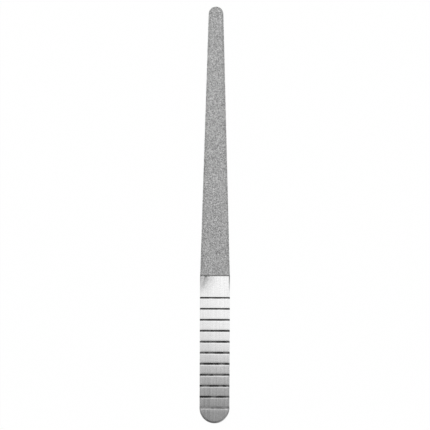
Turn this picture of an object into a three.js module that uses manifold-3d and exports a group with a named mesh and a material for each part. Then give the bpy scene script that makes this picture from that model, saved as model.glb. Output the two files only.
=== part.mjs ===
// Metal nail file: one stamped stainless-steel strip, whose blade carries a nickel-bonded diamond coat on
// both faces and round its edges. The bare half of the strip is the handle, with grip grooves cut across it.
//
// Millimetres. The file lies flat on its back coat: +Z up, +Y towards the tip, +X across it. The origin is
// on the surface that it lies on, under the middle of its length.
import * as THREE from "three";
import { mergeVertices, toCreasedNormals } from "three/addons/utils/BufferGeometryUtils.js";
import Module from "manifold-3d";

// Driving dimensions
const BLADE_LENGTH = 115; // from the end of the coat to the tip, over the coat
const ROOT_WIDTH = 12.6; // of the blade where the coat ends, over the coat
const TIP_RADIUS = 3.1; // over the coat
const HANDLE_LENGTH = 63; // from the end of the coat to the butt
const HANDLE_WIDTH = 12.8;
const STEEL_THICKNESS = 1.2;
const HANDLE_EDGE_ROUND = 0.5;
const FRONT_COAT_THICKNESS = 0.15;
const BACK_COAT_THICKNESS = 0.15;
const EDGE_COAT_THICKNESS = 0.15;
const COAT_EDGE_ROUND = 0.3;
const FIRST_GROOVE = 9.4; // from the end of the coat to the middle of the first groove
const GROOVE_PITCH = 4.7;
const GROOVE_WIDTH = 0.65;
const GROOVE_DEPTH = 0.25;

// Facets of the round shapes
const END_SEGMENTS = 36; // along the half circle of the tip and of the butt
const EDGE_SEGMENTS = 4; // across a rounded edge
const GROOVE_SEGMENTS = 28; // round the cutter of a groove
const CREASE_ANGLE = Math.PI / 6; // facets that meet at less than this shade as one surface

// Places along the file and through its thickness
const OVERALL_LENGTH = BLADE_LENGTH + HANDLE_LENGTH;
const TIP_Y = OVERALL_LENGTH / 2;
const BUTT_Y = -OVERALL_LENGTH / 2;
const COAT_END_Y = TIP_Y - BLADE_LENGTH;
const STEEL_BACK_Z = BACK_COAT_THICKNESS;
const STEEL_FRONT_Z = STEEL_BACK_Z + STEEL_THICKNESS;
const COAT_FRONT_Z = STEEL_FRONT_Z + FRONT_COAT_THICKNESS;

// The grooves fill the straight part of the handle and stop where the butt starts to round.
const grooveRoom = HANDLE_LENGTH - FIRST_GROOVE - HANDLE_WIDTH / 2;
const grooveCount = Math.floor(grooveRoom / GROOVE_PITCH) + 1;

// A rounding on both edges of a wall stops just short of the wall's middle.
const limitRound = (round, wall) => Math.min(round, 0.48 * wall);
const handleEdgeRound = limitRound(HANDLE_EDGE_ROUND, STEEL_THICKNESS);
const coatEdgeRound = limitRound(COAT_EDGE_ROUND, COAT_FRONT_Z);

const wasm = await Module();
wasm.setup();

// Solids: closed three.js geometry to and from the library that joins and cuts

function solidOf(geometry) {
  const bare = geometry.clone();
  bare.deleteAttribute("normal");
  bare.deleteAttribute("uv");
  const merged = mergeVertices(bare);
  return new wasm.Manifold(
    new wasm.Mesh({
      numProp: 3,
      vertProperties: merged.attributes.position.array,
      triVerts: new Uint32Array(merged.index.array),
    }),
  );
}

function geometryOf(solid) {
  const mesh = solid.getMesh();
  const geometry = new THREE.BufferGeometry();
  geometry.setAttribute("position", new THREE.BufferAttribute(mesh.vertProperties, 3));
  geometry.setIndex(new THREE.BufferAttribute(mesh.triVerts, 1));
  return toCreasedNormals(geometry, CREASE_ANGLE);
}

// A box for keeping a stretch of the file. It runs well past the file where no limit is given.
function stretch({ lowY = 2 * BUTT_Y, highY = 2 * TIP_Y, lowZ = -COAT_FRONT_Z, highZ = 2 * COAT_FRONT_Z }) {
  const width = 2 * Math.max(HANDLE_WIDTH, ROOT_WIDTH);
  const box = new THREE.BoxGeometry(width, highY - lowY, highZ - lowZ);
  return solidOf(box.translate(0, (lowY + highY) / 2, (lowZ + highZ) / 2));
}

// A flat piece with an outline in X and Y and square edges.
function plate(outline, lowZ, highZ) {
  const options = { depth: highZ - lowZ, bevelEnabled: false, curveSegments: END_SEGMENTS };
  return solidOf(new THREE.ExtrudeGeometry(outline, options).translate(0, 0, lowZ));
}

// The same with its upper and lower edges rounded, inside the outline.
function roundedPlate(outline, lowZ, highZ, round) {
  const options = {
    depth: highZ - lowZ - 2 * round,
    bevelThickness: round,
    bevelSize: round,
    bevelOffset: -round,
    bevelSegments: EDGE_SEGMENTS,
    curveSegments: END_SEGMENTS,
  };
  return solidOf(new THREE.ExtrudeGeometry(outline, options).translate(0, 0, lowZ + round));
}

// Outlines

// The blade from rootY to the tip, set in from its coated edge: straight tapering sides that run into the
// round tip. Setting in by a coat keeps the sides parallel and the tip's centre where it is.
function bladeOutline(inset, rootY) {
  const tipCentreY = TIP_Y - TIP_RADIUS;
  const sideLength = tipCentreY - COAT_END_Y;
  const reach = Math.hypot(ROOT_WIDTH / 2, sideLength);
  const taper = Math.acos(TIP_RADIUS / reach) - Math.atan2(sideLength, ROOT_WIDTH / 2);
  const rootHalf = ROOT_WIDTH / 2 - inset / Math.cos(taper) + (COAT_END_Y - rootY) * Math.tan(taper);
  const outline = new THREE.Shape();
  outline.moveTo(-rootHalf, rootY);
  outline.lineTo(rootHalf, rootY);
  outline.absarc(0, tipCentreY, TIP_RADIUS - inset, taper, Math.PI - taper, false);
  outline.closePath();
  return outline;
}

// The handle from topY to the half-round butt.
function handleOutline(topY) {
  const half = HANDLE_WIDTH / 2;
  const outline = new THREE.Shape();
  outline.moveTo(half, topY);
  outline.lineTo(-half, topY);
  outline.absarc(0, BUTT_Y + half, half, Math.PI, 2 * Math.PI, false);
  outline.closePath();
  return outline;
}

// Steel blank

// A round-bottomed groove right across one face. The side is 1 on the front and -1 on the back.
function grooveCutter(y, faceZ, side) {
  const radius = (GROOVE_WIDTH ** 2 / 4 + GROOVE_DEPTH ** 2) / (2 * GROOVE_DEPTH);
  const bar = new THREE.CylinderGeometry(radius, radius, 2 * HANDLE_WIDTH, GROOVE_SEGMENTS);
  return solidOf(bar.rotateZ(Math.PI / 2).translate(0, y, faceZ + side * (radius - GROOVE_DEPTH)));
}

// The handle is drawn past the end of the coat and cut off there, so its rounded edges run out square. The
// core of the blade runs on into it, inside those edges.
function steelBlank() {
  const run = 2 * handleEdgeRound;
  const bar = roundedPlate(handleOutline(COAT_END_Y + run), STEEL_BACK_Z, STEEL_FRONT_Z, handleEdgeRound);
  const strip = plate(bladeOutline(EDGE_COAT_THICKNESS, COAT_END_Y - run), STEEL_BACK_Z, STEEL_FRONT_Z);
  const handle = bar.intersect(stretch({ highY: COAT_END_Y }));
  const core = strip.intersect(bar.add(stretch({ lowY: COAT_END_Y })));
  let blank = handle.add(core);
  for (let i = 0; i < grooveCount; i++) {
    const y = COAT_END_Y - FIRST_GROOVE - i * GROOVE_PITCH;
    blank = blank.subtract(grooveCutter(y, STEEL_FRONT_Z, 1));
    blank = blank.subtract(grooveCutter(y, STEEL_BACK_Z, -1));
  }
  return blank;
}

// Abrasive coat

// The whole coated blade, with rounded edges and a square end at the handle.
function coatedBlade() {
  const longBlade = bladeOutline(0, COAT_END_Y - 2 * coatEdgeRound);
  return roundedPlate(longBlade, 0, COAT_FRONT_Z, coatEdgeRound).intersect(stretch({ lowY: COAT_END_Y }));
}

function frontCoat() {
  return coatedBlade().intersect(stretch({ lowZ: STEEL_FRONT_Z }));
}

function backCoat() {
  return coatedBlade().intersect(stretch({ highZ: STEEL_BACK_Z }));
}

// What is left between the two, round the steel.
function edgeCoat() {
  const core = plate(bladeOutline(EDGE_COAT_THICKNESS, BUTT_Y), -COAT_FRONT_Z, 2 * COAT_FRONT_Z);
  const band = coatedBlade().intersect(stretch({ lowZ: STEEL_BACK_Z, highZ: STEEL_FRONT_Z }));
  return band.subtract(core);
}

// The assembly

const STEEL = { color: 0xc9c9c9, roughness: 0.32, metalness: 1 };
const COARSE_GRIT = { color: 0xa3a3a4, roughness: 0.75, metalness: 0.6 };
const FINE_GRIT = { color: 0xababac, roughness: 0.65, metalness: 0.6 };

const nailFile = new THREE.Group();

function addPiece(name, solid, finish) {
  const piece = new THREE.Mesh(geometryOf(solid), new THREE.MeshStandardMaterial(finish));
  piece.name = name;
  nailFile.add(piece);
}

addPiece("steel_blank", steelBlank(), STEEL);
addPiece("front_grit_coat", frontCoat(), COARSE_GRIT);
addPiece("back_grit_coat", backCoat(), FINE_GRIT);
addPiece("edge_grit_coat", edgeCoat(), COARSE_GRIT);

export default nailFile;
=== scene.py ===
"""Visual model of a metal nail file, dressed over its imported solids.

The file is one stamped stainless strip. Its bare half is the handle, brushed lengthwise, with grip grooves
rolled across both faces and a half-round butt. Its blade half carries a nickel bond with diamond grains:
coarse on the front face and round the edges, fine on the back face. Everything is in metres, in the frame of
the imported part: +Y towards the tip, +Z out of the front face, and Z zero on the surface under the file.
"""

from __future__ import annotations

import logging
import math
from dataclasses import asdict, dataclass
from enum import Enum
from functools import reduce
from typing import Any, ClassVar, Iterable, Sequence

import bmesh
import bpy
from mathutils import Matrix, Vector

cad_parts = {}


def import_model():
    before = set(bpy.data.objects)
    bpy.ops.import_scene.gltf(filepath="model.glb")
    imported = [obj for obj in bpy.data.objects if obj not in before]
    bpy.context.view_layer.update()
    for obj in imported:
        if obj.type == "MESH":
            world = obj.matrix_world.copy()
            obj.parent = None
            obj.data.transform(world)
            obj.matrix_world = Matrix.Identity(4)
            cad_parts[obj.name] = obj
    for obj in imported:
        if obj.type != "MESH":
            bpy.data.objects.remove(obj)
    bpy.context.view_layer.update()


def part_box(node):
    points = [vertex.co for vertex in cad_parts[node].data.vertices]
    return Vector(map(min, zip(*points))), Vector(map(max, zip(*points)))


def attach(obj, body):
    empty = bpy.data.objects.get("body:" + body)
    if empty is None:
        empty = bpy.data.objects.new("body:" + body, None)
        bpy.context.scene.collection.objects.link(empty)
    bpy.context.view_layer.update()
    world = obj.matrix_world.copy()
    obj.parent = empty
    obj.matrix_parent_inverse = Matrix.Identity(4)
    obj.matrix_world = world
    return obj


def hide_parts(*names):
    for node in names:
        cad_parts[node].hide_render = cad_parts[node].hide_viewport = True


Material = bpy.types.Material
Piece = bpy.types.Object
Socket = bpy.types.NodeSocket
Triple = tuple[float, float, float]
Section = Sequence[Triple]

LOG = logging.getLogger("nail_file")
MM = 0.001
BODY = "root"

# What a mesh hands on to its finish
# The grooves' dark fill, residue with painted shade for their shadow, and the mark of the last groove, where
# it is paler
GROOVE_MASK = "groove"
PALE_MASK = "pale_groove"
GRIT_MASK = "gritted"
GRAIN_TONE = "grain_tone"
BRUSH_MAP = "brush"

# Stretches of a noise's range, over which a finish goes from one value to another
WIDE = (0.2, 0.8)
BROAD = (0.25, 0.75)
MIDDLE = (0.3, 0.7)
INNER = (0.35, 0.65)
NARROW = (0.4, 0.6)
LOWER = (0.2, 0.75)
UPPER = (0.5, 0.7)

# Width of a clump of grains of like tone
CLUMP = 0.29 * MM


class Grade(Enum):
    """How coarse a coat's grains are."""

    COARSE = "coarse"
    FINE = "fine"


class CoatSide(Enum):
    """Which part of the blade a coat covers."""

    FRONT = "front"
    BACK = "back"
    EDGE = "edge"


class Draw(Enum):
    """What is drawn at random for each grain, and what that draw adds to its coat's seed."""

    SIZE = 1
    SHOWING = 2
    TONE = 3
    TURN = 4
    KIND = 5


# Sizes


@dataclass(frozen=True)
class FileSizes:
    """Places that the frame gives, and the sizes of the part that no box shows, in metres."""

    butt_y: float
    coat_end_y: float
    tip_y: float
    steel_back_z: float
    steel_front_z: float
    coat_front_z: float
    handle_half: float
    root_half: float
    tip_radius: float = 3.1 * MM
    edge_coat: float = 0.15 * MM
    first_groove: float = 9.4 * MM
    groove_pitch: float = 4.7 * MM
    groove_depth: float = 0.25 * MM

    @classmethod
    def from_frame(cls) -> FileSizes:
        """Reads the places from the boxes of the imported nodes.

        Returns:
            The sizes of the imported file.
        """
        steel_low, steel_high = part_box("steel_blank")
        edge_low, edge_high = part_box("edge_grit_coat")
        front_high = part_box("front_grit_coat")[1]
        return cls(
            butt_y=steel_low.y,
            coat_end_y=edge_low.y,
            tip_y=edge_high.y,
            steel_back_z=steel_low.z,
            steel_front_z=steel_high.z,
            coat_front_z=front_high.z,
            handle_half=steel_high.x,
            root_half=edge_high.x,
        )

    @property
    def middle_z(self) -> float:
        """Height of the strip's middle plane."""
        return (self.steel_back_z + self.steel_front_z) / 2

    @property
    def half_thickness(self) -> float:
        """Half the thickness of the bare strip."""
        return (self.steel_front_z - self.steel_back_z) / 2

    @property
    def tip_centre_y(self) -> float:
        """Place along the file of the round tip's centre."""
        return self.tip_y - self.tip_radius

    @property
    def butt_centre_y(self) -> float:
        """Place along the file of the round butt's centre."""
        return self.butt_y + self.handle_half

    @property
    def taper(self) -> float:
        """Angle between each side of the blade and the file's axis, in radians."""
        run = self.tip_centre_y - self.coat_end_y
        return math.acos(self.tip_radius / math.hypot(self.root_half, run)) - math.atan2(run, self.root_half)

    @property
    def groove_places(self) -> list[float]:
        """Places along the file of the middles of the grooves.

        Returns:
            The places, from the coat to the butt.
        """
        first = self.coat_end_y - self.first_groove
        count = math.floor((first - self.butt_centre_y) / self.groove_pitch) + 1
        return [first - i * self.groove_pitch for i in range(count)]

    def blade_half(self, y: float) -> float:
        """Half the width over the coat, at a place along the blade's straight sides."""
        return self.root_half - (y - self.coat_end_y) * math.tan(self.taper)

    def tip_turn(self, steps: int) -> list[float]:
        """Directions round the tip from its right side to its left, in radians."""
        sweep = math.pi - 2 * self.taper
        return [self.taper + sweep * i / steps for i in range(steps + 1)]

    def turned_over(self, section: Iterable[Triple]) -> list[Triple]:
        """A section's points on the other side of the strip's middle plane."""
        return [(reach, 2 * self.middle_z - z, share) for reach, z, share in section]


@dataclass(frozen=True)
class GripGrooves:
    """Section of the grip grooves, and the dark fill in them: residue, with painted shade where their walls
    fall in shadow.

    A groove goes from its bottom to its lips, past which its shoulders are rolled. The last one's sizes, and
    the widths of its dark fill and the first one's, are shares of the others'. The dark fill stops on the
    rolled edges, between two shares of the half thickness.
    """

    first: float
    pitch: float
    count: int
    depth: float
    middle: float
    half_thickness: float
    bottom: float = 0.06 * MM
    lip: float = 0.36 * MM
    shoulder: float = 0.009 * MM
    shoulder_reach: float = 1.0 * MM
    # Where the grooves' dark fill lies: residue, with painted shade for the shadow in them
    residue_drop: float = -0.02 * MM
    residue_full: float = 0.32 * MM
    residue_reach: float = 0.46 * MM
    residue_wall: float = 0.59
    residue_face: float = 0.66
    first_residue: float = 0.82
    full_residue_groove: float = 4.0
    last_residue: float = 1.4
    last_depth: float = 0.24
    last_width: float = 1.8

    @classmethod
    def of_file(cls, sizes: FileSizes) -> GripGrooves:
        """Takes the grooves' places and depth from the file.

        Args:
            sizes: Sizes of the file.

        Returns:
            Its grooves.
        """
        places = sizes.groove_places
        return cls(
            first=places[0],
            pitch=sizes.groove_pitch,
            count=len(places),
            depth=sizes.groove_depth,
            middle=sizes.middle_z,
            half_thickness=sizes.half_thickness,
        )


@dataclass(frozen=True)
class Nodules:
    """Height and spacing of the low nodules in a coat's bond."""

    height: float = 0.03 * MM
    spacing: float = 0.5 * MM
    detail: float = 2.0


@dataclass(frozen=True)
class Grit:
    """Size and spacing of a coat's grains, and of the clumps of like tone that they make."""

    radius: float
    spread: float
    showing: float
    apart: float
    seed: int
    least_showing: float = 0.6
    per_square_metre: float = 60e6
    clump: float = CLUMP
    clump_share: float = 0.85


# Node trees


class Graph:
    """A node tree that is written as calls: what is fed to a socket is linked if it is a socket itself."""

    def __init__(self, tree: bpy.types.NodeTree) -> None:
        """Keeps the tree that the calls fill."""
        self.tree = tree

    def add(self, kind: str, feeds: dict[Any, Any] | None = None, **settings: Any) -> bpy.types.Node:
        """Adds a node.

        Args:
            kind: The node's type name.
            feeds: Values or sockets for its inputs, by name or number.
            **settings: The node's own settings.

        Returns:
            The new node.
        """
        node = self.tree.nodes.new(kind)
        for name, value in settings.items():
            setattr(node, name, value)
        for key, value in (feeds or {}).items():
            self.feed(node.inputs[key], value)
        return node

    def feed(self, socket: Socket, value: Any) -> None:
        """Links an input from another socket or sets its value.

        Args:
            socket: The input.
            value: A socket or a plain value.
        """
        if isinstance(value, Socket):
            self.tree.links.new(value, socket)
        else:
            socket.default_value = value

    def math(self, operation: str, first: Any, second: Any = 0.0) -> Socket:
        """Adds a Math node's operation on one or two numbers."""
        return self.add("ShaderNodeMath", {0: first, 1: second}, operation=operation).outputs[0]

    def product(self, *factors: Any) -> Socket:
        """Adds the product of two or more numbers."""
        return reduce(lambda first, second: self.math("MULTIPLY", first, second), factors)

    def length(self, first: Socket, second: Socket) -> Socket:
        """Adds the length of the diagonal of two numbers."""
        squares = [self.math("POWER", side, 2.0) for side in (first, second)]
        return self.math("SQRT", self.math("ADD", *squares))

    def ramp(self, value: Any, low: Any, high: Any, start: Any = 0.0, end: Any = 1.0) -> Socket:
        """Adds a smooth step from a start, where the value is low, to an end, where it is high."""
        feeds = {0: value, 1: low, 2: high, 3: start, 4: end}
        return self.add("ShaderNodeMapRange", feeds, interpolation_type="SMOOTHSTEP").outputs[0]

    def swing(self, value: Any, low: float, high: float, middle: float, reach: float) -> Socket:
        """Adds a smooth step about a middle, which reaches as far below it as above."""
        return self.ramp(value, low, high, middle - reach, middle + reach)

    def blend(self, share: Any, first: Any, second: Any) -> Socket:
        """Adds a mix of two numbers, with a share of the second."""
        return self.add("ShaderNodeMix", {0: share, 2: first, 3: second}).outputs[0]

    def grey(self, tone: Socket) -> Socket:
        """Adds the neutral colour of a linear tone."""
        return self.add("ShaderNodeCombineColor", {0: tone, 1: tone, 2: tone}).outputs[0]

    def split(self, vector: Socket) -> Sequence[Socket]:
        """Adds the three numbers of a vector or colour."""
        return self.add("ShaderNodeSeparateXYZ", {0: vector}).outputs

    def clump(self, place: Socket, waves: Any) -> Socket:
        """Adds a number from 0 to 1 that all places in a cell share."""
        cells = self.add("ShaderNodeTexVoronoi", {"Vector": place, "Scale": waves})
        return self.split(cells.outputs["Color"])[0]


class SurfaceGraph(Graph):
    """A material's tree, with the piece's own coordinates and the sizes of the file that it is for."""

    NOISE_ROUGHNESS: ClassVar[float] = 0.6

    def __init__(self, name: str, sizes: FileSizes) -> None:
        """Starts the material.

        Args:
            name: The material's name.
            sizes: Sizes of the file.
        """
        self.material = bpy.data.materials.new(name)
        self.material.use_nodes = True
        super().__init__(self.material.node_tree)
        self.sizes = sizes
        self.place = self.add("ShaderNodeTexCoord").outputs["Object"]
        self.across, self.along, self.up = self.split(self.place)

    def dress(self, feeds: dict[str, Any]) -> Material:
        """Feeds the Principled shader.

        Args:
            feeds: Values or sockets for its inputs, by name.

        Returns:
            The material.
        """
        shader = self.tree.nodes["Principled BSDF"]
        for label, value in feeds.items():
            self.feed(shader.inputs[label], value)
        return self.material

    def attribute(self, name: str) -> Socket:
        """Adds a number that the piece's mesh holds."""
        return self.add("ShaderNodeAttribute", attribute_name=name).outputs["Fac"]

    def noise(self, per_metre: Triple, detail: float) -> Socket:
        """Adds a noise about 0.5.

        Args:
            per_metre: Waves in a metre along X, Y and Z.
            detail: The noise's octaves.

        Returns:
            The noise.
        """
        mapped = self.add("ShaderNodeMapping", {"Vector": self.place, "Scale": per_metre}).outputs[0]
        feeds = {"Vector": mapped, "Scale": 1.0, "Detail": detail, "Roughness": self.NOISE_ROUGHNESS}
        return self.add("ShaderNodeTexNoise", feeds).outputs[0]

    def bump(self, height: Socket, strength: float, depth: float) -> Socket:
        """Adds the normal of a surface that a pattern raises by a depth."""
        feeds = {"Strength": strength, "Distance": depth, "Height": height}
        return self.add("ShaderNodeBump", feeds).outputs[0]


class MeshGraph(Graph):
    """A geometry tree with a named input for each of its sizes and for its finish.

    Each kind of tree has a label and adds, in shape, what it makes of the geometry that it is given.
    """

    LABEL: ClassVar[str]

    def __init__(self, sizes: GripGrooves | Nodules | Grit, finish: Material) -> None:
        """Builds the tree, whose inputs are named after the fields of its sizes.

        Args:
            sizes: The values of its number inputs.
            finish: The material that it sets.
        """
        super().__init__(bpy.data.node_groups.new(self.LABEL, "GeometryNodeTree"))
        self.values: dict[str, Any] = {"Finish": finish}
        sockets = self.tree.interface
        sockets.new_socket("Geometry", in_out="OUTPUT", socket_type="NodeSocketGeometry")
        sockets.new_socket("Geometry", in_out="INPUT", socket_type="NodeSocketGeometry")
        sockets.new_socket("Finish", in_out="INPUT", socket_type="NodeSocketMaterial")
        for name, value in asdict(sizes).items():
            label = name.replace("_", " ").capitalize()
            kind = "NodeSocketInt" if isinstance(value, int) else "NodeSocketFloat"
            sockets.new_socket(label, in_out="INPUT", socket_type=kind)
            self.values[label] = value
        self.given = self.add("NodeGroupInput").outputs
        whole = self.add("GeometryNodeRealizeInstances", {"Geometry": self.shape()}).outputs[0]
        dressed = self.add("GeometryNodeSetMaterial", {"Geometry": whole, "Material": self.given["Finish"]})
        self.add("NodeGroupOutput", {"Geometry": dressed.outputs[0]})

    def shape(self) -> Socket:
        """Adds what the tree makes of the geometry that it is given."""
        raise NotImplementedError

    def stored(self, geometry: Socket, name: str, value: Socket) -> Socket:
        """Adds a number that each point then holds."""
        feeds = {"Geometry": geometry, "Name": name, "Value": value}
        return self.add("GeometryNodeStoreNamedAttribute", feeds).outputs[0]

    def grit_share(self) -> Socket:
        """Adds the share of grit that the mesh holds."""
        return self.add("GeometryNodeInputNamedAttribute", {"Name": GRIT_MASK}).outputs[0]

    def position(self) -> Socket:
        """Adds each point's place."""
        return self.add("GeometryNodeInputPosition").outputs[0]

    def shifted(self, geometry: Socket, normal: Socket, reach: Socket) -> Socket:
        """Adds a move of each point along its normal."""
        offset = self.add("ShaderNodeVectorMath", {0: normal, "Scale": reach}, operation="SCALE").outputs[0]
        return self.add("GeometryNodeSetPosition", {"Geometry": geometry, "Offset": offset}).outputs[0]

    def run(self, source: Piece, name: str) -> Piece:
        """Runs the tree on an object and keeps the result as a plain mesh.

        Args:
            source: The object that the tree works on. It is removed.
            name: Name of the new piece.

        Returns:
            The new piece, with no modifier.
        """
        modifier = source.modifiers.new(self.LABEL, "NODES")
        modifier.node_group = self.tree
        for item in self.tree.interface.items_tree:
            if item.in_out == "INPUT" and item.name in self.values:
                modifier[item.identifier] = self.values[item.name]
        evaluated = source.evaluated_get(bpy.context.evaluated_depsgraph_get())
        mesh = bpy.data.meshes.new_from_object(evaluated)
        mesh.name = name
        bpy.data.objects.remove(source)
        return add_object(name, mesh)


class GrooveTree(MeshGraph):
    """The tree that rolls the grip grooves into both faces of the strip.

    A point is lowered towards the middle plane to the groove's own depth there, so a groove runs straight
    across. The mesh keeps the share of the dark fill, residue with painted shade, at each point, and a mark
    on the last groove, for the finish.
    """

    LABEL = "grip_grooves"

    def shape(self) -> Socket:
        """Adds the grooves.

        Returns:
            The grooved strip.
        """
        given = self.given
        across, along, height = self.split(self.position())
        below = self.math("SUBTRACT", given["First"], along)
        last = self.math("SUBTRACT", given["Count"], 1.0)
        counted = self.math("ROUND", self.math("DIVIDE", below, given["Pitch"]))
        index = self.math("MINIMUM", self.math("MAXIMUM", counted, 0.0), last)
        past = self.math("SUBTRACT", below, self.product(index, given["Pitch"]))
        is_last = self.math("GREATER_THAN", index, self.math("SUBTRACT", last, 0.5))
        rise = self.math("SUBTRACT", height, given["Middle"])
        depth = self.math("ABSOLUTE", rise)
        kept = self.math("MINIMUM", depth, self._limit(past, is_last))
        lowered = self.math("ADD", given["Middle"], self.product(self.math("SIGN", rise), kept))
        # Share of the grooves' dark fill, residue with painted shade, stored for the finish
        face_share = self.math("DIVIDE", depth, given["Half thickness"])
        on_face = self.ramp(face_share, given["Residue wall"], given["Residue face"])
        mask = self.product(self._residue(past, index, is_last), on_face)
        marked = self.stored(given["Geometry"], PALE_MASK, is_last)
        masked = self.stored(marked, GROOVE_MASK, mask)
        place = self.add("ShaderNodeCombineXYZ", {0: across, 1: along, 2: lowered}).outputs[0]
        return self.add("GeometryNodeSetPosition", {"Geometry": masked, "Position": place}).outputs[0]

    def _limit(self, past: Socket, is_last: Socket) -> Socket:
        """Adds the height over the middle plane that a groove leaves.

        Args:
            past: Distance past the middle of the nearest groove.
            is_last: Whether that is the last one.

        Returns:
            The height.
        """
        given = self.given
        width = self.blend(is_last, 1.0, given["Last width"])
        off = self.math("DIVIDE", self.math("ABSOLUTE", past), width)
        full_cut = self.math("SUBTRACT", given["Depth"], given["Shoulder"])
        deepest = self.product(self.blend(is_last, 1.0, given["Last depth"]), full_cut)
        cut = self.ramp(off, given["Lip"], given["Bottom"], 0.0, deepest)
        roll = self.ramp(off, given["Shoulder reach"], given["Bottom"], 0.0, given["Shoulder"])
        return self.math("SUBTRACT", given["Half thickness"], self.math("ADD", cut, roll))

    def _residue(self, past: Socket, index: Socket, is_last: Socket) -> Socket:
        """Adds the share of a groove's dark fill, residue with painted shade.

        Args:
            past: Distance past the middle of the nearest groove.
            index: Number of that groove, from 0.
            is_last: Whether that is the last one.

        Returns:
            The share.
        """
        given = self.given
        upper_width = self.ramp(index, 0.0, given["Full residue groove"], given["First residue"], 1.0)
        width = self.blend(is_last, upper_width, given["Last residue"])
        dropped = self.math("ABSOLUTE", self.math("SUBTRACT", past, given["Residue drop"]))
        return self.ramp(self.math("DIVIDE", dropped, width), given["Residue reach"], given["Residue full"])


class NoduleTree(MeshGraph):
    """The tree that raises the plated bond's surface into low nodules."""

    LABEL = "bond_nodules"

    def shape(self) -> Socket:
        """Adds the nodules.

        Returns:
            The nodular bond.
        """
        waves = self.math("DIVIDE", 1.0, self.given["Spacing"])
        noise = self.add("ShaderNodeTexNoise", {"Scale": waves, "Detail": self.given["Detail"]}).outputs[0]
        reach = self.product(self.math("SUBTRACT", noise, 0.5), self.given["Height"], self.grit_share())
        normal = self.add("GeometryNodeInputNormal").outputs[0]
        return self.shifted(self.given["Geometry"], normal, reach)


class GrainTree(MeshGraph):
    """The tree that plants diamond grains on the gritted faces of a bond.

    Each grain is one of two blocky crystals, turned at random and sunk into the bond, with its own grey.
    """

    LABEL = "diamond_grains"
    # How far a turned crystal reaches from its middle, and the side of a cubic one, for a radius of 1
    REACH: ClassVar[float] = 0.8
    CUBE_SIDE: ClassVar[float] = 1.25
    # Share of grit from which a face takes grains
    LEAST_GRIT: ClassVar[float] = 0.9

    def shape(self) -> Socket:
        """Adds the grains.

        Returns:
            The grains alone, as instances.
        """
        given = self.given
        smallest = self.math("SUBTRACT", 1.0, given["Spread"])
        largest = self.math("ADD", 1.0, given["Spread"])
        radius = self.product(self._drawn(Draw.SIZE, smallest, largest), given["Radius"])
        showing = self.product(given["Showing"], self._drawn(Draw.SHOWING, given["Least showing"], 1.0))
        sink = self.math("SUBTRACT", showing, self.product(radius, self.REACH))
        sown = self._sown()
        sunk = self.shifted(sown["Points"], sown["Normal"], sink)
        clump = self.clump(self.position(), self.math("DIVIDE", 1.0, given["Clump"]))
        tone = self.blend(given["Clump share"], self._drawn(Draw.TONE, 0.0, 1.0), clump)
        feeds = {
            "Points": self.stored(sunk, GRAIN_TONE, tone),
            "Instance": self._crystals(),
            "Pick Instance": True,
            "Instance Index": self._kind(),
            "Rotation": self._turn(),
            "Scale": self.add("ShaderNodeCombineXYZ", {0: radius, 1: radius, 2: radius}).outputs[0],
        }
        return self.add("GeometryNodeInstanceOnPoints", feeds).outputs[0]

    def _sown(self) -> Sequence[Socket]:
        """Adds the grains' places on the gritted faces.

        Returns:
            The node's outputs, among them the points and their normals.
        """
        given = self.given
        on_face = self.add("GeometryNodeFieldOnDomain", {0: self.grit_share()}, domain="FACE").outputs[0]
        feeds = {
            "Mesh": given["Geometry"],
            "Selection": self.math("GREATER_THAN", on_face, self.LEAST_GRIT),
            "Distance Min": given["Apart"],
            "Density Max": given["Per square metre"],
            "Seed": given["Seed"],
        }
        return self.add("GeometryNodeDistributePointsOnFaces", feeds, distribute_method="POISSON").outputs

    def _crystals(self) -> Socket:
        """Adds the two kinds of crystal, a four-sided bipyramid and a cube.

        Returns:
            Both, as instances.
        """
        kinds = self.add("GeometryNodeGeometryToInstance")
        bipyramid = self.add("GeometryNodeMeshUVSphere", {"Segments": 4, "Rings": 2, "Radius": 1.0})
        cube = self.add("GeometryNodeMeshCube", {"Size": (self.CUBE_SIDE,) * 3})
        for crystal in (bipyramid, cube):
            self.feed(kinds.inputs[0], crystal.outputs["Mesh"])
        return kinds.outputs[0]

    def _seed(self, draw: Draw) -> Socket:
        """Adds the seed of one draw."""
        return self.math("ADD", self.given["Seed"], float(draw.value))

    def _drawn(self, draw: Draw, low: Any, high: Any) -> Socket:
        """Adds a random number for each grain."""
        feeds = {2: low, 3: high, "Seed": self._seed(draw)}
        return self.add("FunctionNodeRandomValue", feeds).outputs[1]

    def _kind(self) -> Socket:
        """Adds a random choice between the two crystals."""
        feeds = {4: 0, 5: 1, "Seed": self._seed(Draw.KIND)}
        return self.add("FunctionNodeRandomValue", feeds, data_type="INT").outputs[2]

    def _turn(self) -> Socket:
        """Adds a random turn about each axis.

        Returns:
            The rotation.
        """
        feeds = {1: (math.tau,) * 3, "Seed": self._seed(Draw.TURN)}
        angles = self.add("FunctionNodeRandomValue", feeds, data_type="FLOAT_VECTOR").outputs[0]
        return self.add("FunctionNodeEulerToRotation", {0: angles}).outputs[0]


# Finishes, whose tones are linear and whose noises are given as waves in a metre along X, Y and Z


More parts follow.
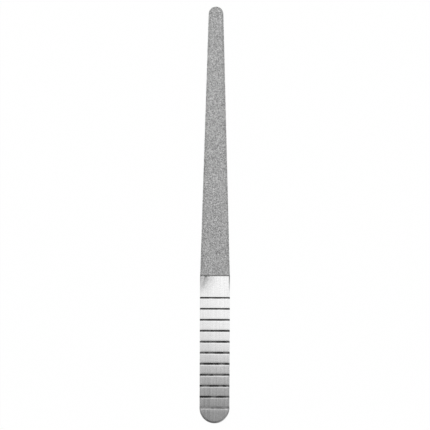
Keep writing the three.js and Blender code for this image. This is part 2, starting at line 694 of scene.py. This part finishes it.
@dataclass(frozen=True)
class GrooveResidue:
    """Dark fill in the grooves, residue with painted shade for their shadow, and a painted shadow line under
    the coat's end.

    It is even in the upper grooves, lighter in patches lower down, and pale in the last.
    """

    # Tones of the dark fill in the grooves: residue, with painted shade for their shadow
    dark: float = 0.05
    light: float = 0.12
    worn: float = 0.24
    pale_dark: float = 0.32
    pale_light: float = 0.44
    even_groove: int = 2
    patchy_groove: int = 5
    roughness: float = 0.6
    thinning: float = 0.3
    border: float = 0.4
    # Width of the painted shadow line that the coat's step casts on the steel
    line: float = 0.16 * MM

    def cover(self, graph: SurfaceGraph, patches: Socket) -> Socket:
        """Adds the share of the steel that the dark fill and the painted shadow line cover.

        Args:
            graph: The steel's graph.
            patches: A noise that thins the dark fill here and there.

        Returns:
            The share.
        """
        end = graph.sizes.coat_end_y
        start = graph.ramp(patches, *INNER, 0.0, self.thinning)
        filled = graph.ramp(graph.attribute(GROOVE_MASK), start, graph.math("ADD", start, self.border))
        # With a painted shadow line under the coat's end
        return graph.math("MAXIMUM", filled, graph.ramp(graph.along, end - self.line, end - self.line / 2))

    def tone(self, graph: SurfaceGraph, patches: Socket) -> Socket:
        """Adds the grey of the dark fill, residue with painted shade.

        Args:
            graph: The steel's graph.
            patches: A noise that says where the dark fill is lighter.

        Returns:
            The grey's linear tone.
        """
        places = graph.sizes.groove_places
        even, patchy = places[self.even_groove], places[self.patchy_groove]
        # Lighter painted fill in the lower grooves
        light = graph.ramp(graph.along, even, patchy, self.light, self.worn)
        usual = graph.ramp(patches, *NARROW, self.dark, light)
        pale = graph.ramp(patches, *NARROW, self.pale_dark, self.pale_light)
        return graph.blend(graph.attribute(PALE_MASK), usual, pale)


@dataclass(frozen=True)
class SteelHaze:
    """Darkening of bare steel, which also dulls it: clouds by the coat's end, most at the left, small
    smudges there, and painted dark reflection on the rims near the coat and round the butt.
    """

    length: float = 9 * MM
    least_streak: float = 0.6
    corner: float = 0.54
    corner_width: float = 8 * MM
    cloud: float = 0.35
    clouds: Triple = (550.0, 240.0, 100.0)
    cloud_detail: float = 3.0
    smudge: float = 0.36
    smudge_length: float = 3 * MM
    smudge_right: float = 0.1
    smudges: Triple = (1100.0, 900.0, 100.0)
    smudge_detail: float = 2.0
    # Painted dark reflection on the rims near the coat and on the butt's rim
    rim: float = 0.75
    rim_width: float = 0.7 * MM
    rim_full: float = 0.3
    butt_rim: float = 0.8
    butt_rim_width: float = 1.0 * MM
    wall_share: float = 0.6
    face_share: float = 0.7

    def strength(self, graph: SurfaceGraph, streaks: Socket) -> Socket:
        """Adds the darkening: clouds and smudges by the coat, and painted dark reflection on the rims and
        the butt.

        Args:
            graph: The steel's graph.
            streaks: A noise that breaks the darkening up.

        Returns:
            The share of the tone that it takes.
        """
        end = graph.sizes.coat_end_y
        past = graph.math("MINIMUM", graph.math("SUBTRACT", graph.along, graph.sizes.butt_centre_y), 0.0)
        rim = self._rim(graph, past)
        near = graph.ramp(graph.along, end - self.length, end)
        streaked = graph.ramp(streaks, *LOWER, self.least_streak, 1.0)
        # Painted dark reflection on the rims near the coat
        strongest = graph.math("MAXIMUM", self._corner(graph), graph.product(rim, self.rim))
        by_coat = graph.math("ADD", graph.product(near, streaked, strongest), self._smudges(graph))
        # Painted dark reflection on the butt's rim
        return graph.math("MAXIMUM", by_coat, graph.product(rim, self._butt(graph, past)))

    def _corner(self, graph: SurfaceGraph) -> Socket:
        """Adds the clouds at the handle's upper left.

        Args:
            graph: The steel's graph.

        Returns:
            Their strength.
        """
        left = -graph.sizes.handle_half
        corner = graph.ramp(graph.across, left + self.corner_width, left, 0.0, self.corner)
        clouds = graph.noise(self.clouds, self.cloud_detail)
        return graph.product(corner, graph.swing(clouds, *INNER, 1.0, self.cloud))

    def _smudges(self, graph: SurfaceGraph) -> Socket:
        """Adds the small smudges close to the coat's end, fewer towards the right.

        Args:
            graph: The steel's graph.

        Returns:
            Their strength.
        """
        half, end = graph.sizes.handle_half, graph.sizes.coat_end_y
        close = graph.ramp(graph.along, end - self.smudge_length, end)
        leftward = graph.ramp(graph.across, half, -half / 2, self.smudge_right, 1.0)
        smudges = graph.noise(self.smudges, self.smudge_detail)
        return graph.product(close, leftward, graph.ramp(smudges, *UPPER, 0.0, self.smudge))

    def _rim(self, graph: SurfaceGraph, past: Socket) -> Socket:
        """Adds the mask of the handle's rim, which widens round the butt, for the painted dark reflection
        there.

        Args:
            graph: The steel's graph.
            past: Place along the file from the butt's centre, up to 0.

        Returns:
            The rim's mask.
        """
        half = graph.sizes.handle_half
        inside = graph.math("SUBTRACT", half, graph.length(graph.across, past))
        width = graph.ramp(past, 0.0, -half / 2, self.rim_width, self.butt_rim_width)
        return graph.ramp(graph.math("DIVIDE", inside, width), 1.0, self.rim_full)

    def _butt(self, graph: SurfaceGraph, past: Socket) -> Socket:
        """Adds the painted dark reflection on the butt's rim, strongest at its lower left and none on its
        side wall.

        Args:
            graph: The steel's graph.
            past: Place along the file from the butt's centre, up to 0.

        Returns:
            The haze's strength.
        """
        half, thick = graph.sizes.handle_half, graph.sizes.half_thickness
        rise = graph.math("ABSOLUTE", graph.math("SUBTRACT", graph.up, graph.sizes.middle_z))
        return graph.product(
            graph.ramp(graph.across, half, 0.0),
            graph.ramp(past, 0.0, -half),
            graph.ramp(rise, self.wall_share * thick, self.face_share * thick, 0.0, self.butt_rim),
        )


@dataclass(frozen=True)
class BrushedSteel:
    """Bright stainless, brushed along the file, with residue and painted shade in the grooves, a painted
    shadow line under the coat, clouds and smudges by the coat, and painted dark reflection on its rims.
    """

    name: str = "brushed_stainless"
    residue: GrooveResidue = GrooveResidue()
    haze: SteelHaze = SteelHaze()
    tone: float = 0.74
    streak: float = 0.05
    streaks: Triple = (1300.0, 22.0, 1300.0)
    streak_detail: float = 2.0
    satin: float = 0.05
    satin_spots: Triple = (900.0, 2500.0, 900.0)
    satin_detail: float = 2.0
    brushing: float = 0.06
    brush_lines: Triple = (9000.0, 70.0, 9000.0)
    brush_detail: float = 3.0
    brush_bump: float = 0.12
    brush_depth: float = 0.02 * MM
    patches: Triple = (300.0, 200.0, 100.0)
    patch_detail: float = 2.0
    # Painted light, which brightens the steel towards the right
    side_lean: float = 0.05
    roughness: float = 0.17
    roughness_swing: float = 0.02
    haze_roughness: float = 0.25
    anisotropy: float = 0.8

    def build(self, sizes: FileSizes) -> Material:
        """Makes the material.

        Args:
            sizes: Sizes of the file, for the places of its dark fill, painted shadow line, clouds and
                painted dark reflection.

        Returns:
            The steel.
        """
        graph = SurfaceGraph(self.name, sizes)
        lines = graph.noise(self.brush_lines, self.brush_detail)
        streaks = graph.noise(self.streaks, self.streak_detail)
        patches = graph.noise(self.patches, self.patch_detail)
        # Dark fill of the grooves, residue with painted shade, and the painted shadow line under the coat
        residue = self.residue.cover(graph, patches)
        # Darkening by the coat, with painted dark reflection on the rims and the butt
        haze = self.haze.strength(graph, streaks)
        clear = graph.math("SUBTRACT", 1.0, haze)
        bright = graph.product(self._brushed(graph, lines, streaks), clear)
        rough = graph.swing(streaks, *WIDE, self.roughness, self.roughness_swing)
        hazy = graph.math("ADD", rough, graph.product(haze, self.haze_roughness))
        tangent = graph.add("ShaderNodeTangent", direction_type="UV_MAP", uv_map=BRUSH_MAP)
        feeds = {
            "Base Color": graph.grey(graph.blend(residue, bright, self.residue.tone(graph, patches))),
            "Roughness": graph.blend(residue, hazy, self.residue.roughness),
            "Normal": graph.bump(lines, self.brush_bump, self.brush_depth),
            "Tangent": tangent.outputs[0],
            "Metallic": 1.0,
            "Anisotropic": self.anisotropy,
        }
        return graph.dress(feeds)

    def _brushed(self, graph: SurfaceGraph, lines: Socket, streaks: Socket) -> Socket:
        """Adds the clean steel's tone, with painted light that makes it a little brighter towards the right.

        Args:
            graph: The steel's graph.
            lines: The noise of the brushing.
            streaks: The noise of the broad streaks.

        Returns:
            The linear tone.
        """
        half = graph.sizes.handle_half
        spots = graph.noise(self.satin_spots, self.satin_detail)
        return graph.product(
            graph.swing(streaks, *WIDE, self.tone, self.streak),
            graph.swing(spots, *MIDDLE, 1.0, self.satin),
            graph.swing(lines, *MIDDLE, 1.0, self.brushing),
            # Painted light, brighter towards the right
            graph.swing(graph.across, -half, half, 1.0, self.side_lean),
        )


@dataclass(frozen=True)
class CoatShade:
    """Painted shade on a coat: along its end, for the shadow at its step onto the steel, and round its
    border, where its rounded edge turns from the light.
    """

    end: float = 0.4
    end_dark: float = 0.1 * MM
    end_clear: float = 0.5 * MM
    border: float = 0.86
    border_dark: float = 0.5 * MM
    border_clear: float = 1.2 * MM

    def share(self, graph: SurfaceGraph) -> Socket:
        """Adds the share of the tone that is left.

        Args:
            graph: The coat's graph.

        Returns:
            The share.
        """
        past_end = graph.math("SUBTRACT", graph.along, graph.sizes.coat_end_y)
        end = graph.ramp(past_end, self.end_dark, self.end_clear, self.end, 1.0)
        inside = self._inside(graph, past_end)
        return graph.product(end, graph.ramp(inside, self.border_dark, self.border_clear, self.border, 1.0))

    def _inside(self, graph: SurfaceGraph, past_end: Socket) -> Socket:
        """Adds the distance in from the coated blade's outline, along its sides and round its tip.

        Args:
            graph: The coat's graph.
            past_end: Distance past the coat's end.

        Returns:
            The distance, in metres.
        """
        sizes = graph.sizes
        out = graph.math("ABSOLUTE", graph.across)
        narrowing = graph.product(past_end, math.tan(sizes.taper))
        side = graph.math("SUBTRACT", graph.math("SUBTRACT", sizes.root_half, narrowing), out)
        past_centre = graph.math("SUBTRACT", graph.along, sizes.tip_centre_y)
        tip = graph.math("SUBTRACT", sizes.tip_radius, graph.length(out, past_centre))
        return graph.blend(graph.math("GREATER_THAN", past_centre, 0.0), side, tip)


@dataclass(frozen=True)
class NickelBond:
    """The plated nickel between the grains: dull, nodular and a little darker than they are."""

    name: str
    dark: float
    light: float
    shade: CoatShade = CoatShade()
    clump: float = CLUMP
    nodule: float = 0.12 * MM
    nodule_detail: float = 3.0
    nodule_tone: float = 0.2
    nodule_bump: float = 0.6
    nodule_depth: float = 0.03 * MM
    roughness: float = 0.55
    roughness_swing: float = -0.1
    metallic: float = 0.7

    def build(self, sizes: FileSizes) -> Material:
        """Makes the material.

        Args:
            sizes: Sizes of the file, for the painted shade at the coat's end and border.

        Returns:
            The bond.
        """
        graph = SurfaceGraph(self.name, sizes)
        nodules = graph.noise((1.0 / self.nodule,) * 3, self.nodule_detail)
        tone = graph.blend(graph.clump(graph.place, 1.0 / self.clump), self.dark, self.light)
        mottle = graph.swing(nodules, *BROAD, 1.0, self.nodule_tone)
        feeds = {
            # Tone with painted shade at the coat's end and border
            "Base Color": graph.grey(graph.product(tone, mottle, self.shade.share(graph))),
            "Roughness": graph.swing(nodules, *WIDE, self.roughness, self.roughness_swing),
            "Normal": graph.bump(nodules, self.nodule_bump, self.nodule_depth),
            "Metallic": self.metallic,
        }
        return graph.dress(feeds)


@dataclass(frozen=True)
class DiamondGrains:
    """Grains of synthetic diamond, plated in: each has its own grey, and the paler are the smoother."""

    name: str
    dark: float
    light: float
    shade: CoatShade = CoatShade()
    rough: float = 0.5
    smooth: float = 0.3
    metallic: float = 0.5

    def build(self, sizes: FileSizes) -> Material:
        """Makes the material.

        Args:
            sizes: Sizes of the file, for the painted shade at the coat's end and border.

        Returns:
            The grains' finish.
        """
        graph = SurfaceGraph(self.name, sizes)
        own = graph.attribute(GRAIN_TONE)
        tone = graph.blend(own, self.dark, self.light)
        feeds = {
            # Tone with painted shade at the coat's end and border
            "Base Color": graph.grey(graph.product(tone, self.shade.share(graph))),
            "Roughness": graph.blend(own, self.rough, self.smooth),
            "Metallic": self.metallic,
        }
        return graph.dress(feeds)


# Meshes


def add_object(name: str, data: bpy.types.ID) -> bpy.types.Object:
    """Links a new object to the scene, at the origin.

    Args:
        name: The object's name.
        data: Its mesh, lamp or camera.

    Returns:
        The object.
    """
    added = bpy.data.objects.new(name, data)
    bpy.context.scene.collection.objects.link(added)
    return added


def arc(radius: float, start: float, end: float, steps: int) -> list[tuple[float, float]]:
    """Points of a circular arc about its centre, from one angle in radians to another."""
    angles = [start + (end - start) * i / steps for i in range(steps + 1)]
    return [(radius * math.cos(a), radius * math.sin(a)) for a in angles]


def spread(start: float, end: float, step: float) -> list[float]:
    """Even steps from one value to another, none longer than a given one."""
    count = max(1, math.ceil(abs(end - start) / step))
    return [start + (end - start) * i / count for i in range(count + 1)]


def finish_piece(piece: Piece, material: Material, slot: str, *nodes: str) -> None:
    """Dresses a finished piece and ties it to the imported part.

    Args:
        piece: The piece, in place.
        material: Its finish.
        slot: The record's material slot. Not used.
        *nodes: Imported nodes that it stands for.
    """
    piece.data.materials.clear()
    piece.data.materials.append(material)
    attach(piece, BODY)
    if nodes:
        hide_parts(*nodes)
    LOG.info("%s: %d faces", piece.name, len(piece.data.polygons))


@dataclass(frozen=True)
class Station:
    """A half section that stands at one place round the strip's outline.

    Each point of the section has its distance from the anchor, its height and its share of the grit.
    """

    anchor_y: float
    angle: float
    section: Section

    def points(self) -> list[Vector]:
        """The section's points in the file's frame."""
        across, along = math.cos(self.angle), math.sin(self.angle)
        return [Vector((reach * across, self.anchor_y + reach * along, z)) for reach, z, _ in self.section]


@dataclass
class SweptStrip:
    """A strip swept from half sections round its outline, up one side, round an end and down the other."""

    name: str
    stations: list[Station]
    closed_path: bool
    closed_section: bool
    merge_distance: float = 0.0005 * MM
    map_width: float = 20 * MM
    map_length: float = 200 * MM
    sharp_angle: float = math.radians(40)

    def build(self) -> Piece:
        """Makes the mesh, with the grit's share as an attribute and a map that follows the brushing.

        Returns:
            The strip, linked to the scene.
        """
        verts: list[Vector] = []
        shares: list[float] = []
        for station in self.stations:
            verts.extend(station.points())
            shares.extend(share for _, _, share in station.section)
        mesh = bpy.data.meshes.new(self.name)
        mesh.from_pydata(verts, [], self._sides() + self._caps())
        mesh.attributes.new(GRIT_MASK, "FLOAT", "POINT").data.foreach_set("value", shares)
        self._close(mesh)
        self._map(mesh)
        return add_object(self.name, mesh)

    def _sides(self) -> list[list[int]]:
        """Lists the faces between neighbouring stations.

        Returns:
            Corner numbers of each face.
        """
        count = len(self.stations[0].section)
        runs = len(self.stations) if self.closed_path else len(self.stations) - 1
        rounds = count if self.closed_section else count - 1
        faces = []
        for i in range(runs):
            here = i * count
            there = (i + 1) % len(self.stations) * count
            for k in range(rounds):
                after = (k + 1) % count
                faces.append([here + k, there + k, there + after, here + after])
        return faces

    def _caps(self) -> list[list[int]]:
        """Lists the faces that close the two ends of an open path.

        Returns:
            Corner numbers of each face.
        """
        if self.closed_path:
            return []
        count = len(self.stations[0].section)
        last = (len(self.stations) - 1) * count
        faces = []
        for k in range((count - 1) // 2):
            corners = list(dict.fromkeys([k, k + 1, count - 2 - k, count - 1 - k]))
            faces.append(corners)
            faces.append([last + corner for corner in reversed(corners)])
        return faces

    def _close(self, mesh: bpy.types.Mesh) -> None:
        """Merges the points that the two sides share and turns every face outwards.

        Args:
            mesh: The swept mesh.
        """
        shell = bmesh.new()
        shell.from_mesh(mesh)
        bmesh.ops.remove_doubles(shell, verts=shell.verts, dist=self.merge_distance)
        bmesh.ops.recalc_face_normals(shell, faces=shell.faces)
        shell.to_mesh(mesh)
        shell.free()

    def _map(self, mesh: bpy.types.Mesh) -> None:
        """Lays a map over the strip whose first axis runs across the brushing, and smooths the shading.

        Args:
            mesh: The closed mesh.
        """
        layer = mesh.uv_layers.new(name=BRUSH_MAP)
        for corner in mesh.loops:
            place = mesh.vertices[corner.vertex_index].co
            layer.data[corner.index].uv = (place.x / self.map_width + 0.5, place.y / self.map_length + 0.5)
        for face in mesh.polygons:
            face.use_smooth = True
        mesh.set_sharp_from_angle(angle=self.sharp_angle)


# Sub-assemblies


@dataclass
class SteelBlank:
    """The stamped strip: a square-edged core under the coats, and the grooved handle with rolled edges."""

    sizes: FileSizes
    grooves: GripGrooves
    round_steps: int = 10
    face_steps: int = 8
    tip_steps: int = 24
    butt_steps: int = 72
    land_step: float = 1.2 * MM
    groove_step: float = 0.04 * MM
    groove_margin: float = 0.1 * MM
    edge_drop: float = 0.25 * MM
    edge_roll: float = 0.5 * MM
    butt_roll: float = 1.0 * MM
    core_round: float = 0.02 * MM

    def build(self, finish: BrushedSteel) -> None:
        """Sweeps the strip, rolls its grooves and dresses it.

        Args:
            finish: The steel.
        """
        strip = SweptStrip("blank_strip", self._stations(), closed_path=True, closed_section=False).build()
        steel = finish.build(self.sizes)
        blank = GrooveTree(self.grooves, steel).run(strip, "brushed_blank")
        finish_piece(blank, steel, "stainless_steel", "steel_blank")

    def _section(self, half: float, roll: float, drop: float) -> Section:
        """Half a section of bare steel, from the middle of the front to the middle of the back.

        Args:
            half: Half the strip's width there.
            roll: How far in from the edge its rounding starts.
            drop: How far down from the face its rounding ends.

        Returns:
            The section's points.
        """
        face_z = self.sizes.steel_front_z
        flat = half - roll
        front = [(flat * i / self.face_steps, face_z, 0.0) for i in range(self.face_steps)]
        corner = arc(1.0, math.pi / 2, 0.0, self.round_steps)
        front += [(flat + roll * x, face_z + drop * (z - 1.0), 0.0) for x, z in corner]
        return front + self.sizes.turned_over(reversed(front))

    def _handle_section(self, half: float, angle: float = math.pi) -> Section:
        """Half a section of the handle in a direction, whose edges are rolled over the more at the butt."""
        roll = self.edge_roll - (self.butt_roll - self.edge_roll) * math.sin(angle)
        return self._section(half, roll, self.edge_drop)

    def _core_section(self, half: float) -> Section:
        """Half a section of the blade's core, whose edges are only broken."""
        return self._section(half, self.core_round, self.core_round)

    def _rows(self) -> list[float]:
        """Places of the handle's sections, close together over each groove, from the coat towards the butt.

        Returns:
            The places along the file.
        """
        places: list[float] = []
        here = self.sizes.coat_end_y
        reach = self.grooves.shoulder_reach + self.groove_margin
        for middle in self.sizes.groove_places:
            places += spread(here, middle + reach, self.land_step)[:-1]
            places += spread(middle + reach, middle - reach, self.groove_step)[:-1]
            here = middle - reach
        return places + [here]

    def _stations(self) -> list[Station]:
        """Stations round the strip, anticlockwise from the coat's end on the right side.

        Returns:
            The stations.
        """
        sizes = self.sizes
        core_tip = sizes.tip_radius - sizes.edge_coat
        tip_section = self._core_section(core_tip)
        root = (sizes.coat_end_y, self._core_section(sizes.root_half - sizes.edge_coat))
        point = (sizes.tip_centre_y, self._core_section(core_tip / math.cos(sizes.taper)))
        handle = [(y, self._handle_section(self._handle_half(y))) for y in self._rows()]
        right = [Station(y, 0.0, section) for y, section in [root, point]]
        tip = [Station(sizes.tip_centre_y, a, tip_section) for a in sizes.tip_turn(self.tip_steps)]
        left = [Station(y, math.pi, section) for y, section in [point, root, *handle]]
        anchor = handle[-1][0]
        turn = [math.pi * (1 + i / self.butt_steps) for i in range(1, self.butt_steps)]
        butt = [Station(anchor, a, self._handle_section(self._butt_reach(anchor, a), a)) for a in turn]
        back_up = [Station(y, 0.0, section) for y, section in reversed(handle)]
        return right + tip + left + butt + back_up

    def _handle_half(self, y: float) -> float:
        """Half the handle's width at a place along the file, which shrinks past the butt's centre."""
        past = max(0.0, self.sizes.butt_centre_y - y)
        return math.sqrt(self.sizes.handle_half**2 - past**2)

    def _butt_reach(self, anchor_y: float, angle: float) -> float:
        """Distance to the round butt from an anchor on the axis, in a direction."""
        off = anchor_y - self.sizes.butt_centre_y
        return math.sqrt(self.sizes.handle_half**2 - (off * math.cos(angle)) ** 2) - off * math.sin(angle)


@dataclass
class GritCoat:
    """One coat of the blade: a plated bond and the grains that stand out of it."""

    sizes: FileSizes
    side: CoatSide
    grit: Grit
    nodules: Nodules = Nodules()
    row_step: float = 0.45 * MM
    face_step: float = 0.45 * MM
    wall_step: float = 0.25 * MM
    round_steps: int = 5
    tip_steps: int = 40
    face_gap: float = 0.1 * MM
    side_gap: float = 0.02 * MM
    bond_round: float = 0.15 * MM

    def build(self, bond: NickelBond, grains: DiamondGrains, slot: str) -> None:
        """Plates the bond, plants the grains and dresses both.

        Args:
            bond: Finish of the bond.
            grains: Finish of the grains.
            slot: The record's material slot.
        """
        name = self.side.value
        ring = self.side is CoatSide.EDGE
        strip = SweptStrip(f"{name}_strip", self._stations(), closed_path=False, closed_section=ring).build()
        nickel = bond.build(self.sizes)
        plated = NoduleTree(self.nodules, nickel).run(strip, f"{name}_bond")
        bed = add_object(f"{name}_bed", plated.data.copy())
        diamond = grains.build(self.sizes)
        planted = GrainTree(self.grit, diamond).run(bed, f"{name}_grains")
        finish_piece(plated, nickel, slot, f"{name}_grit_coat")
        finish_piece(planted, diamond, slot)

    @property
    def _round_z(self) -> float:
        """Height of the centre of the rounding between the bond's front and its side."""
        return self.sizes.coat_front_z - self.face_gap - self.bond_round

    @property
    def _seam(self) -> float:
        """Angle on that rounding where the face's bond meets the edge's, level with the steel's face."""
        return math.asin((self.sizes.steel_front_z - self._round_z) / self.bond_round)

    def _section(self, half: float) -> Section:
        """The coat's half section.

        Args:
            half: Half the blade's width there, over the grains.

        Returns:
            The section's points.
        """
        if self.side is CoatSide.EDGE:
            return self._band_section(half)
        front = self._face_section(half)
        return front if self.side is CoatSide.FRONT else self.sizes.turned_over(front)

    def _rounding(self, half: float, start: float, end: float) -> list[Triple]:
        """A stretch of the rounding between the bond's front and its side.

        Args:
            half: Half the blade's width there, over the grains.
            start: Its first angle, in radians.
            end: Its last angle.

        Returns:
            The stretch's points.
        """
        centre = half - self.side_gap - self.bond_round
        stretch = arc(self.bond_round, start, end, self.round_steps)
        return [(centre + x, self._round_z + z, 1.0) for x, z in stretch]

    def _face_section(self, half: float) -> Section:
        """Half a section of the front coat's bond, from its middle to its edge and back underneath.

        Args:
            half: Half the blade's width there, over the grains.

        Returns:
            The section's points.
        """
        corner = self._rounding(half, math.pi / 2, self._seam)
        flat, face_z, _ = corner[0]
        steps = round(self.sizes.root_half / self.face_step)
        top = [(flat * i / steps, face_z, 1.0) for i in range(steps)] + corner
        under = [(reach, self.sizes.steel_front_z, 0.0) for reach, _, _ in reversed(top[:-1])]
        return top + under

    def _band_section(self, half: float) -> Section:
        """A section of the edge coat's bond: down its outside and back up against the steel.

        Args:
            half: Half the blade's width there, over the grains.

        Returns:
            The section's points.
        """
        upper = self._rounding(half, self._seam, 0.0)
        lower = self.sizes.turned_over(reversed(upper))
        wall = spread(upper[-1][1], lower[0][1], self.wall_step)[1:-1]
        outside = upper + [(upper[-1][0], z, 1.0) for z in wall] + lower
        inside = [(half - self.sizes.edge_coat, z, 0.0) for _, z, _ in reversed(outside)]
        return outside + inside

    def _stations(self) -> list[Station]:
        """Stations from the coat's end on the right, round the tip, to its end on the left.

        Returns:
            The stations.
        """
        sizes = self.sizes
        rows = spread(sizes.coat_end_y, sizes.tip_centre_y, self.row_step)
        sections = [(y, self._section(sizes.blade_half(y))) for y in rows]
        point = self._section(sizes.tip_radius)
        right = [Station(y, 0.0, section) for y, section in sections]
        tip = [Station(sizes.tip_centre_y, a, point) for a in sizes.tip_turn(self.tip_steps)]
        left = [Station(y, math.pi, section) for y, section in reversed(sections)]
        return right + tip + left


# Studio


@dataclass
class Studio:
    """A white floor, a light tent with a dark gap beyond the butt, a soft key lamp, and the camera above.

    The tent's places are parts of a direction, towards the tip or upwards, from -1 to 1.
    """

    floor_half: float = 4.0
    floor_tone: float = 0.88
    floor_glow: float = 0.97
    overhead: float = 1.2
    overhead_tip: float = 1.35
    overhead_end: float = 0.4
    overhead_fade: float = 0.35
    around: float = 0.85
    gap: float = 0.33
    gap_dark: float = 0.2
    gap_start: float = -0.143
    gap_soft: float = 0.02
    gap_end: float = -0.42
    gap_fade: float = 0.13
    horizon: float = 1.0
    horizon_low: float = 0.1
    horizon_high: float = 0.3
    key_radiance: float = 5.0
    key_size: float = 0.6
    key_place: Triple = (0.0, 1.25, 0.6)
    lens: float = 85.0
    sensor: float = 36.0
    pixels: int = 430
    pixel_size: float = 0.4275 * MM
    focus_height: float = 0.9 * MM
    roll: float = 0.004
    off_axis: float = -0.1 * MM

    def build(self) -> None:
        """Makes the floor, the tent, the key lamp and the camera."""
        self._floor()
        self._tent()
        self._key()
        self._camera()

    def _floor(self) -> None:
        """Lays the floor, which is white to the camera and in reflections, and keeps the file's shadow."""
        mesh = bpy.data.meshes.new("floor")
        far = self.floor_half
        corners = [(-far, -far, 0.0), (far, -far, 0.0), (far, far, 0.0), (-far, far, 0.0)]
        mesh.from_pydata(corners, [], [(0, 1, 2, 3)])
        floor = add_object("floor", mesh)
        material = bpy.data.materials.new("white_floor")
        material.use_nodes = True
        graph = Graph(material.node_tree)
        shader = graph.tree.nodes["Principled BSDF"]
        shader.inputs["Base Color"].default_value = (self.floor_tone,) * 3 + (1.0,)
        shader.inputs["Roughness"].default_value = 1.0
        shader.inputs["Specular IOR Level"].default_value = 0.0
        path = graph.add("ShaderNodeLightPath").outputs
        seen = graph.math("MAXIMUM", path["Is Camera Ray"], path["Is Glossy Ray"])
        seen = graph.math("MAXIMUM", seen, path["Is Transmission Ray"])
        white = graph.add("ShaderNodeEmission", {"Color": (1.0, 1.0, 1.0, 1.0), "Strength": 1.0})
        share = graph.product(seen, self.floor_glow)
        mixed = graph.add("ShaderNodeMixShader", {0: share, 1: shader.outputs[0], 2: white.outputs[0]})
        graph.feed(graph.tree.nodes["Material Output"].inputs["Surface"], mixed.outputs[0])
        mesh.materials.append(material)

    def _tent(self) -> None:
        """Sets the light by direction: bright overhead, dark in the gap, white at the horizon."""
        world = bpy.data.worlds.new("light_tent")
        bpy.context.scene.world = world
        world.use_nodes = True
        graph = Graph(world.node_tree)
        _, along, height = graph.split(graph.add("ShaderNodeTexCoord").outputs["Generated"])
        start, end = self.gap_start, self.gap_end
        fade = self.overhead_end + self.overhead_fade
        box = graph.ramp(along, start, self.overhead_end, self.overhead, self.overhead_tip)
        bright = graph.blend(graph.ramp(along, self.overhead_end, fade), box, self.around)
        dark = graph.ramp(along, end, start, self.gap_dark, self.gap)
        dim = graph.blend(graph.ramp(along, end - self.gap_fade, end), self.around, dark)
        lit = graph.ramp(along, start - self.gap_soft, start + self.gap_soft)
        above = graph.ramp(height, self.horizon_low, self.horizon_high)
        surround = graph.blend(above, self.horizon, graph.blend(lit, dim, bright))
        background = world.node_tree.nodes["Background"]
        graph.feed(background.inputs["Color"], graph.grey(surround))
        background.inputs["Strength"].default_value = 1.0

    def _key(self) -> None:
        """Sets the soft lamp beyond the tip, which models the grains and the lower lips of the grooves."""
        data = bpy.data.lights.new("key", "AREA")
        data.size = self.key_size
        data.energy = self.key_radiance * math.pi * self.key_size**2
        lamp = add_object("key", data)
        lamp.location = self.key_place
        lamp.rotation_euler = (-Vector(self.key_place)).to_track_quat("-Z", "Y").to_euler()

    def _camera(self) -> None:
        """Sets the camera straight above the file, turned a little as in the photograph."""
        data = bpy.data.cameras.new("camera")
        data.lens = self.lens
        data.sensor_width = self.sensor
        camera = add_object("camera", data)
        distance = self.pixels * self.pixel_size * self.lens / self.sensor
        camera.location = (self.off_axis, 0.0, self.focus_height + distance)
        camera.rotation_euler = (0.0, 0.0, self.roll)
        bpy.context.scene.camera = camera


GRITS = {
    Grade.COARSE: Grit(radius=0.2 * MM, spread=0.35, showing=0.075 * MM, apart=0.24 * MM, seed=11),
    Grade.FINE: Grit(radius=0.12 * MM, spread=0.3, showing=0.06 * MM, apart=0.21 * MM, seed=23),
}
BONDS = {
    Grade.COARSE: NickelBond("coarse_bond", dark=0.2, light=0.54),
    Grade.FINE: NickelBond("fine_bond", dark=0.22, light=0.59),
}
GRAINS = {
    Grade.COARSE: DiamondGrains("coarse_grains", dark=0.16, light=0.75),
    Grade.FINE: DiamondGrains("fine_grains", dark=0.23, light=0.735),
}
COATS = {
    CoatSide.FRONT: Grade.COARSE,
    CoatSide.BACK: Grade.FINE,
    CoatSide.EDGE: Grade.COARSE,
}


def main() -> None:
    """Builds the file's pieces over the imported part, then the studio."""
    logging.basicConfig(level=logging.INFO, format="%(name)s: %(message)s")
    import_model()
    bpy.context.scene.view_settings.view_transform = "Standard"
    sizes = FileSizes.from_frame()
    SteelBlank(sizes, GripGrooves.of_file(sizes)).build(BrushedSteel())
    for side, grade in COATS.items():
        coat = GritCoat(sizes, side, GRITS[grade])
        coat.build(BONDS[grade], GRAINS[grade], f"{grade.value}_grit")
    Studio().build()


if __name__ == "__main__":
    main()
